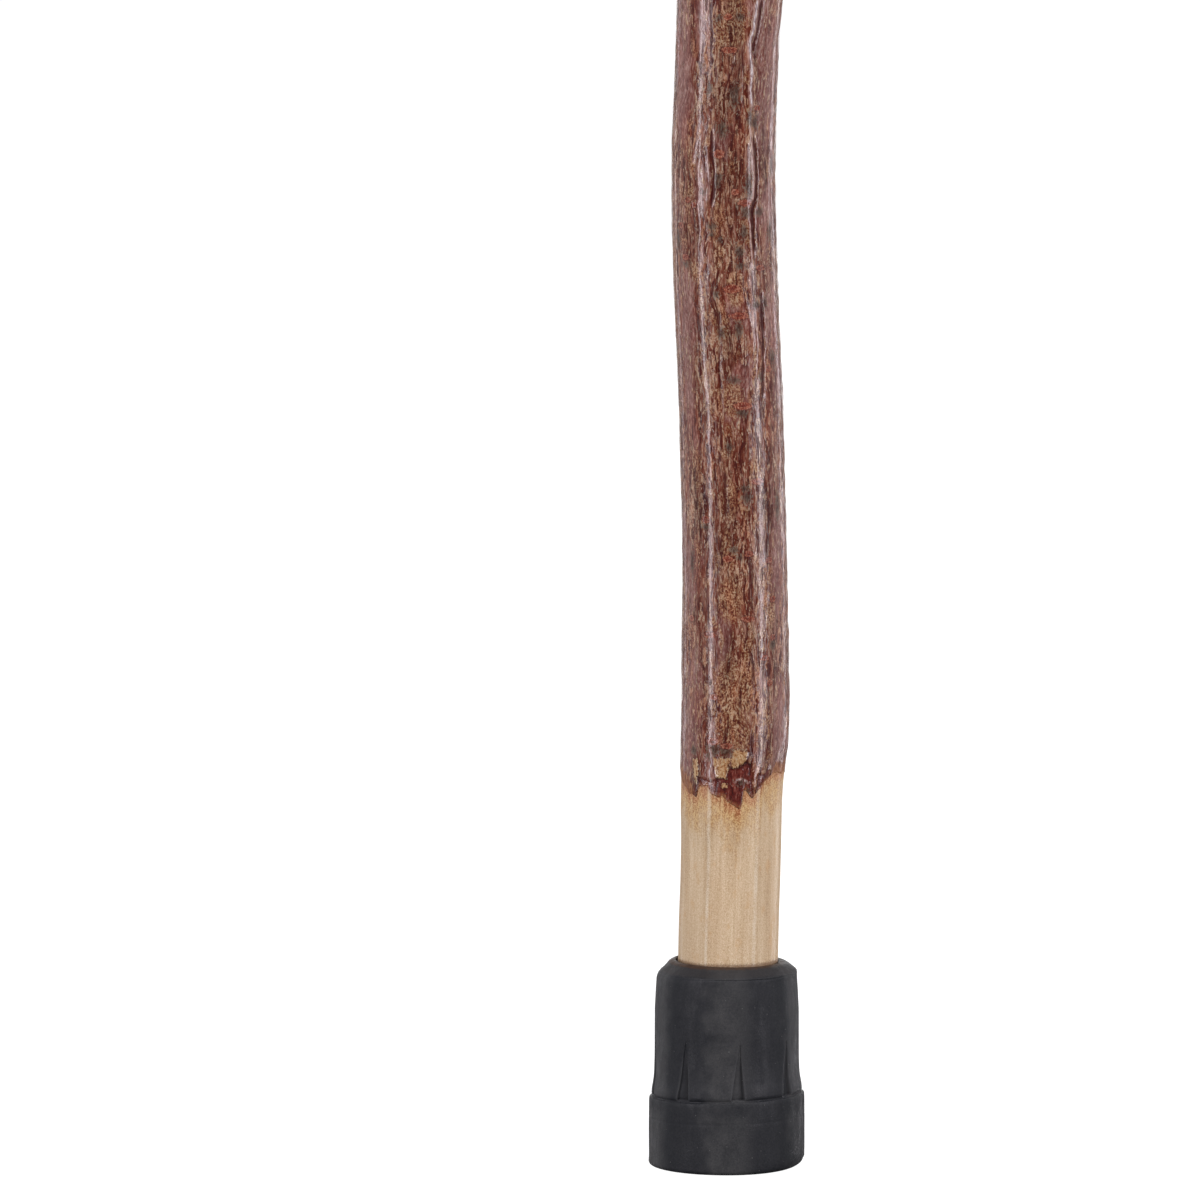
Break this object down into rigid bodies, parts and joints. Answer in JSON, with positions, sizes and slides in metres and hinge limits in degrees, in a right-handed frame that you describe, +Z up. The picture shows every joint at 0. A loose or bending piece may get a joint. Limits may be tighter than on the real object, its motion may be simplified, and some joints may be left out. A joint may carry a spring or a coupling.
{
  "type": "root walking cane",
  "caption": "Walking cane of one natural stem with its bark left on, a bare root as the handle and a pull-off rubber ferrule on the shaved tip.",
  "frame": {"origin": "centre of the rubber ferrule's flat underside", "axes": "+Z up the shaft towards the root handle; the grip's long arm points along -X and its cut heel along +X; the pictured side of the shaft faces -Y"},
  "size_m": [0.151, 0.0462, 0.9203],
  "materials": {
    "root_wood": "bare and shaved at the tip, sanded and varnished on the root handle",
    "bark": "thin reddish-brown bark under gloss varnish",
    "knot_pale": "trimmed branch knot under gloss varnish",
    "knot_dark": "healed dark knot under gloss varnish",
    "rubber": "matte moulded charcoal rubber with a soft sheen",
    "steel": "plain stamped washer"
  },
  "bodies": {
    "ferrule": {"rubber_ferrule": "rubber", "ferrule_washer": "steel"},
    "cane": {"stem_and_root": "root_wood", "bark_sleeve": "bark", "branch_knot_1": "knot_pale", "branch_knot_2": "knot_dark", "branch_knot_3": "knot_pale", "branch_knot_4": "knot_pale", "branch_knot_5": "knot_pale"}
  },
  "joints": [
    {"name": "ferrule_pull", "type": "slide", "parent": "ferrule", "child": "cane", "axis": [0, 0, 1], "range_m": [0, 0.04]}
  ]
}
